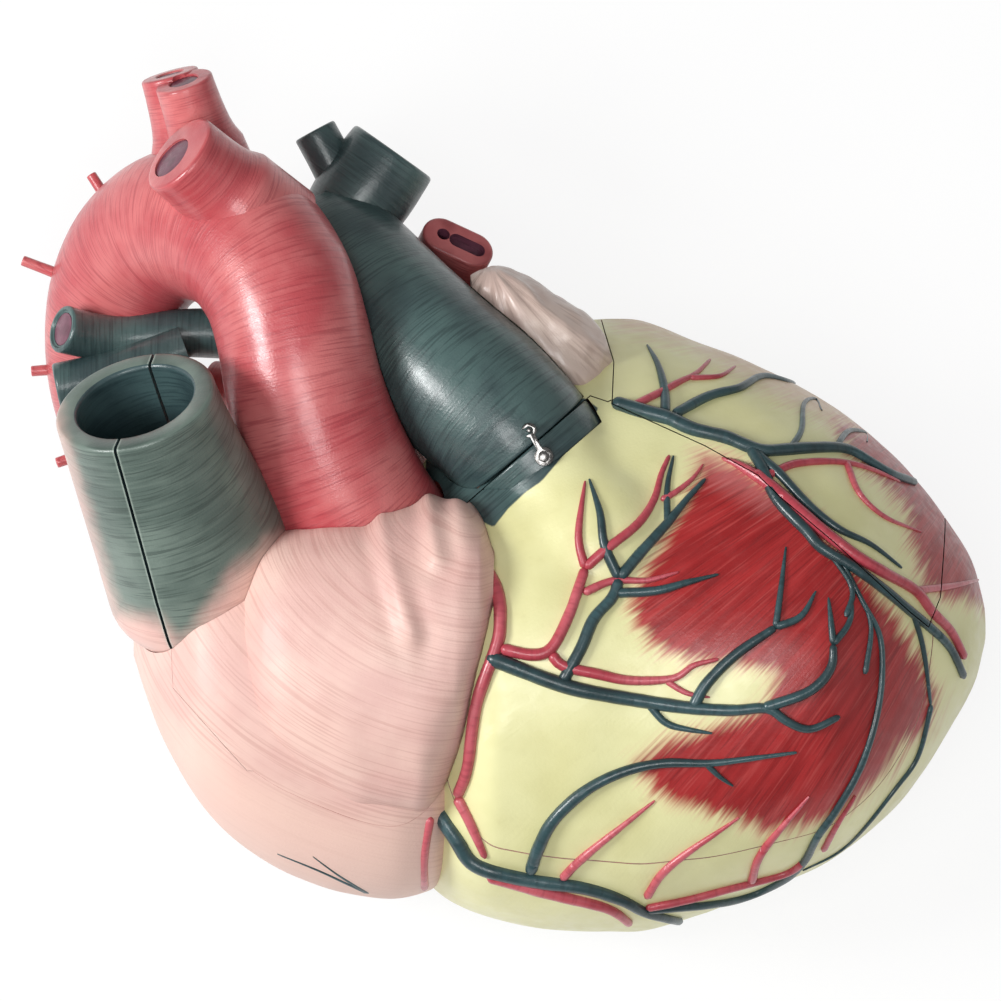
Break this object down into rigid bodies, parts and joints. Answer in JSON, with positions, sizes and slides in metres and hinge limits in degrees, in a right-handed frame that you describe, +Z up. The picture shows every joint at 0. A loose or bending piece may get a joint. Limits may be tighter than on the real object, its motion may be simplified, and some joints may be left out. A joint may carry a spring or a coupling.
{
  "type": "human heart anatomy model",
  "caption": "Take-apart classroom model of a human heart lying on its back, with lift-off chamber walls, great vessels, valves and a hook latch.",
  "frame": {"origin": "on the table, under the middle of the heart, on the flat face that the model rests on", "axes": "+X towards the heart's left side, +Y towards the great vessels, +Z up from the table; the lift-off walls leave along (0, -0.1736, 0.9848)"},
  "size_m": [0.4619, 0.4101, 0.2257],
  "materials": {
    "fat_paint": "satin hand-painted pale yellow fat with crimson muscle patches",
    "auricle_paint": "satin hand-painted pale pink with fine hair strokes",
    "left_auricle_paint": "satin grey-pink, wrinkled",
    "chamber_paint": "satin brick pink",
    "aorta_paint": "satin pink-red with fine brushed rings",
    "vein_paint": "satin green-grey with fine brushed rings",
    "coronary_red": "satin pink-red relief",
    "coronary_blue": "satin dark blue-green relief",
    "purple_paint": "gloss dark purple vessel ends",
    "valve_paint": "satin cream",
    "muscle_paint": "satin muscle red",
    "peg_plastic": "plain moulded ivory",
    "bright_metal": "polished"
  },
  "bodies": {
    "rear": {"ventricle_shell": "fat_paint", "right_atrium_back": "chamber_paint", "left_atrium": "chamber_paint", "septum": "muscle_paint", "left_auricle": "left_auricle_paint", "aorta": "aorta_paint", "arch_front_branch": "aorta_paint", "arch_rear_branches": "aorta_paint", "arch_end_plugs": "purple_paint", "intercostal_stubs": "aorta_paint", "pulmonary_trunk": "vein_paint", "left_lung_artery": "vein_paint", "right_lung_arteries": "vein_paint", "lung_artery_plugs": "purple_paint", "vena_cava_rear": "vein_paint", "lower_vena_cava": "vein_paint", "left_lung_veins": "aorta_paint", "right_lung_veins": "aorta_paint", "tricuspid_valve": "valve_paint", "mitral_valve": "valve_paint", "pulmonary_valve": "valve_paint", "aortic_valve": "valve_paint", "papillary_muscles": "muscle_paint", "valve_cords": "valve_paint", "rear_arteries": "coronary_red", "rear_veins": "coronary_blue", "locating_pegs": "peg_plastic", "catch_pin": "bright_metal"},
    "front_wall": {"right_ventricle_wall": "fat_paint", "right_atrium_wall": "auricle_paint", "right_auricle": "auricle_paint", "vena_cava_front": "vein_paint", "conus_ring": "vein_paint", "front_arteries": "coronary_red", "front_veins": "coronary_blue", "front_sockets": "peg_plastic", "latch_base": "bright_metal", "latch_screw": "bright_metal"},
    "left_wall": {"left_ventricle_wall": "fat_paint", "left_wall_arteries": "coronary_red", "left_wall_veins": "coronary_blue", "left_sockets": "peg_plastic"},
    "hook": {"latch_hook": "bright_metal"}
  },
  "joints": [
    {"name": "front_lift", "type": "slide", "parent": "rear", "child": "front_wall", "axis": [0, -0.1736, 0.9848], "range_m": [0, 0.2]},
    {"name": "left_lift", "type": "slide", "parent": "rear", "child": "left_wall", "axis": [0, -0.1736, 0.9848], "range_m": [0, 0.16]},
    {"name": "hook_turn", "type": "hinge", "parent": "front_wall", "child": "hook", "pos_m": [0.0205, 0.01111, 0.17179], "axis": [0, -0.1736, 0.9848], "range_deg": [-110, 0]}
  ]
}
